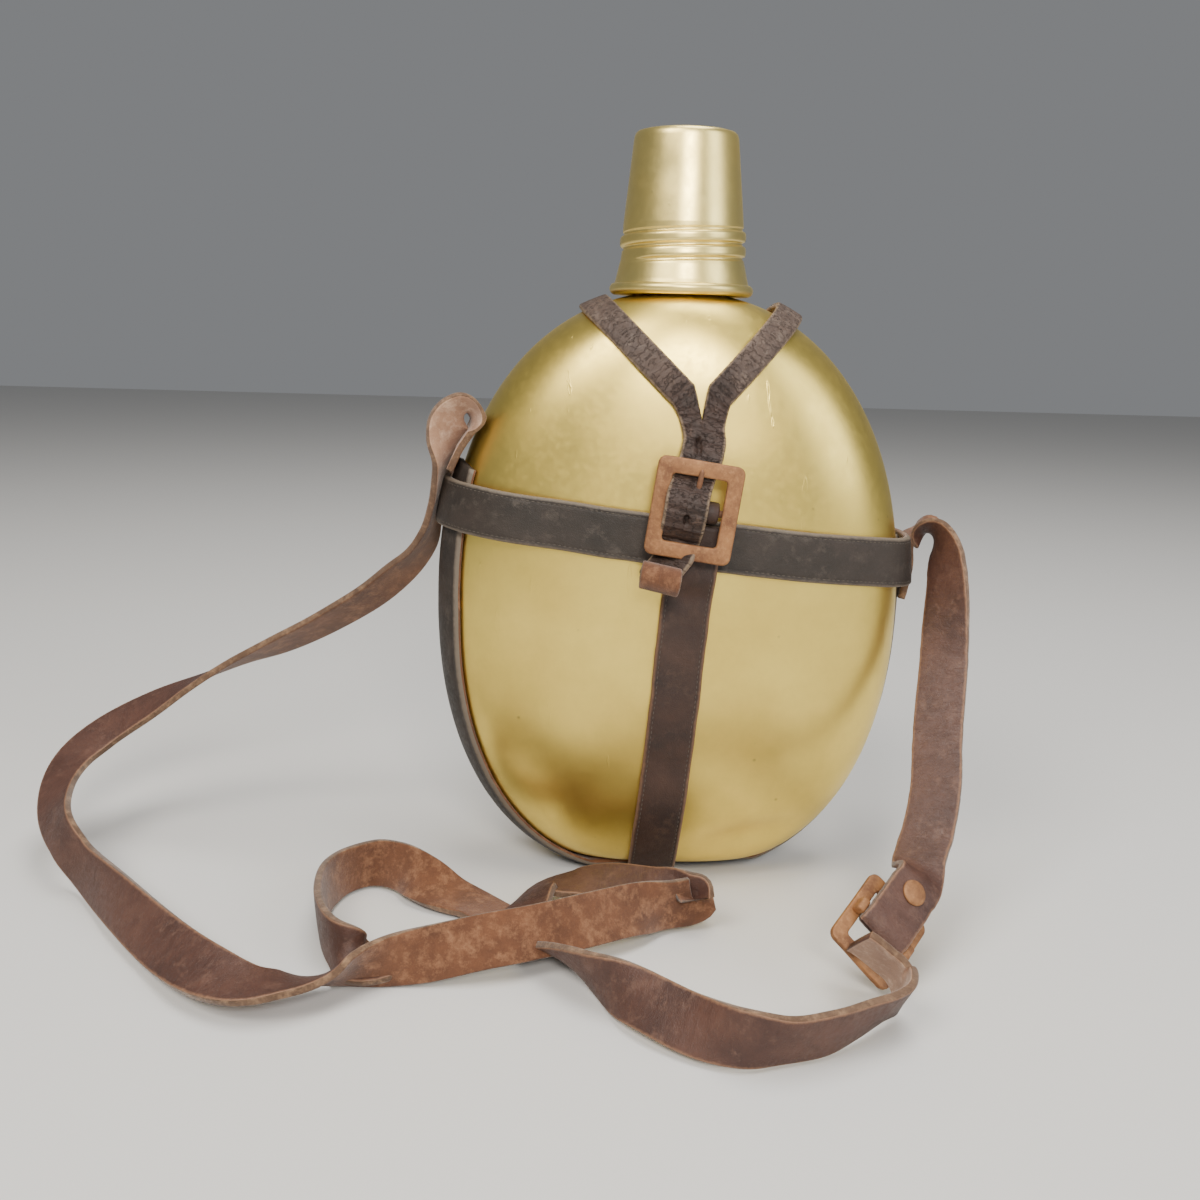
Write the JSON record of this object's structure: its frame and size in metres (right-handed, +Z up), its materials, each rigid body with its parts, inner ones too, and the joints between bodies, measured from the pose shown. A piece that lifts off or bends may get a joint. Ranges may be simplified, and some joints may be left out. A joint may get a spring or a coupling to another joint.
{
  "type": "field canteen",
  "caption": "Egg-shaped metal flask with a screw-on drinking cup over a cork stopper, in a buckled leather harness with a long leather carrying sling.",
  "frame": {"origin": "on the floor, in the middle of the standing flask's base", "axes": "+Z up along the neck, -Y towards the front with the buckle, +X to the right seen from the front"},
  "size_m": [0.2999, 0.1692, 0.234],
  "materials": {
    "flask_metal": "satin, gold anodised",
    "cup_metal": "satin, gold anodised",
    "cork": "matt",
    "dark_leather": "worn",
    "tan_leather": "worn",
    "buckle_metal": "matt, tarnished"
  },
  "bodies": {
    "flask": {"flask_body": "flask_metal", "neck_collar": "flask_metal", "band_strap": "dark_leather", "front_strap": "dark_leather", "cradle_strap": "dark_leather", "yoke_left": "dark_leather", "yoke_right": "dark_leather", "yoke_tail": "dark_leather", "back_tab": "dark_leather", "back_rivets": "buckle_metal", "front_rivet": "buckle_metal", "front_buckle_frame": "buckle_metal", "front_buckle_bar": "buckle_metal", "sling_long": "tan_leather", "sling_short": "tan_leather", "sling_rivet": "buckle_metal", "sling_buckle_frame": "buckle_metal", "sling_buckle_bar": "buckle_metal"},
    "stopper": {"stopper_cork": "cork", "stopper_plate": "flask_metal", "stopper_stem": "flask_metal", "stopper_washer": "flask_metal"},
    "seal": {"cup_seal": "dark_leather"},
    "cup": {"drinking_cup": "cup_metal"},
    "front_prong": {"front_buckle_prong": "buckle_metal"},
    "sling_prong": {"sling_buckle_prong": "buckle_metal"}
  },
  "joints": [
    {"name": "cup_turn", "type": "hinge", "parent": "flask", "child": "seal", "pos_m": [0, 0, 0.2], "axis": [0, 0, 1], "range_deg": [0, 720]},
    {"name": "cup_lift", "type": "slide", "parent": "seal", "child": "cup", "axis": [0, 0, 1], "range_m": [0, 0.055]},
    {"name": "stopper_lift", "type": "slide", "parent": "flask", "child": "stopper", "axis": [0, 0, 1], "range_m": [0, 0.017]},
    {"name": "front_prong_swing", "type": "hinge", "parent": "flask", "child": "front_prong", "pos_m": [0.00395, -0.0391, 0.12492], "axis": [0.9903, -0.0049, -0.1391], "range_deg": [0, 12]},
    {"name": "sling_prong_swing", "type": "hinge", "parent": "flask", "child": "sling_prong", "pos_m": [0.05733, -0.08162, 0.01674], "axis": [0.698, -0.174, -0.6947], "range_deg": [0, 12]}
  ]
}
